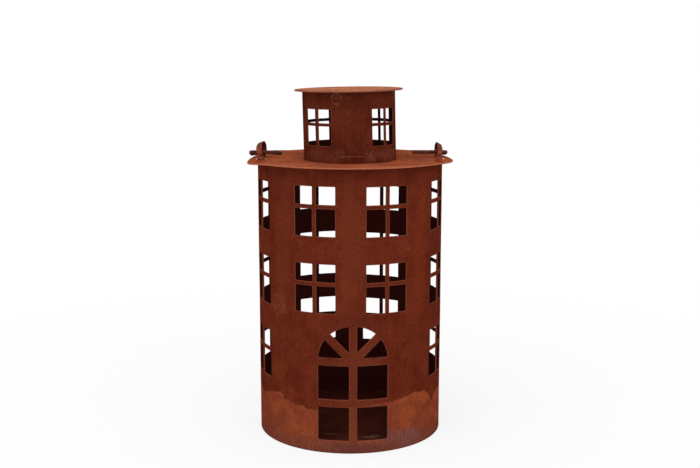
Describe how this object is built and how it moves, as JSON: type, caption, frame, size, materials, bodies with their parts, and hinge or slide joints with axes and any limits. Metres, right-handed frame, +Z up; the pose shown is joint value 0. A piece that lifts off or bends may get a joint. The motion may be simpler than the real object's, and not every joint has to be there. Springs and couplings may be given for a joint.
{
  "type": "punched sheet metal candle lantern",
  "caption": "Round tower-shaped rusted steel candle lantern with punched windows and a fanlight door, a lift-off roof with cupola, and a swinging wire bail.",
  "frame": {"origin": "centre of the drum, on the plane of its lower edge, where the lantern stands", "axes": "+Z up along the drum's axis; the door faces -Y; the bail's hinge runs along X"},
  "size_m": [0.223, 0.2612, 0.375],
  "materials": {
    "drum_steel": "rusted, dark red-brown",
    "plate_steel": "rusted, orange-brown",
    "strap_steel": "rusted, brown",
    "wire_steel": "rusted, dark brown",
    "weld_metal": "part bare, part rusted"
  },
  "bodies": {
    "body": {"body_shell": "drum_steel", "floor_pan": "drum_steel"},
    "lid": {"roof_plate": "plate_steel", "cupola_shell": "drum_steel", "cap_plate": "plate_steel", "ear_left": "strap_steel", "ear_right": "strap_steel", "ear_weld_left": "weld_metal", "ear_weld_right": "weld_metal", "cap_tab_1": "strap_steel", "cap_tab_2": "strap_steel", "cap_tab_3": "strap_steel", "cap_tab_4": "strap_steel", "cupola_tab_1": "strap_steel", "cupola_tab_2": "strap_steel", "cupola_tab_3": "strap_steel", "cupola_tab_4": "strap_steel", "lid_tab_1": "strap_steel", "lid_tab_2": "strap_steel", "lid_tab_3": "strap_steel", "lid_tab_4": "strap_steel"},
    "bail": {"bail": "wire_steel"}
  },
  "joints": [
    {"name": "lid_lift", "type": "slide", "parent": "body", "child": "lid", "axis": [0, 0, 1], "range_m": [0, 0.12]},
    {"name": "bail_swing", "type": "hinge", "parent": "lid", "child": "bail", "pos_m": [0, 0, 0.30578], "axis": [1, 0, 0], "range_deg": [0, 190.2]}
  ]
}
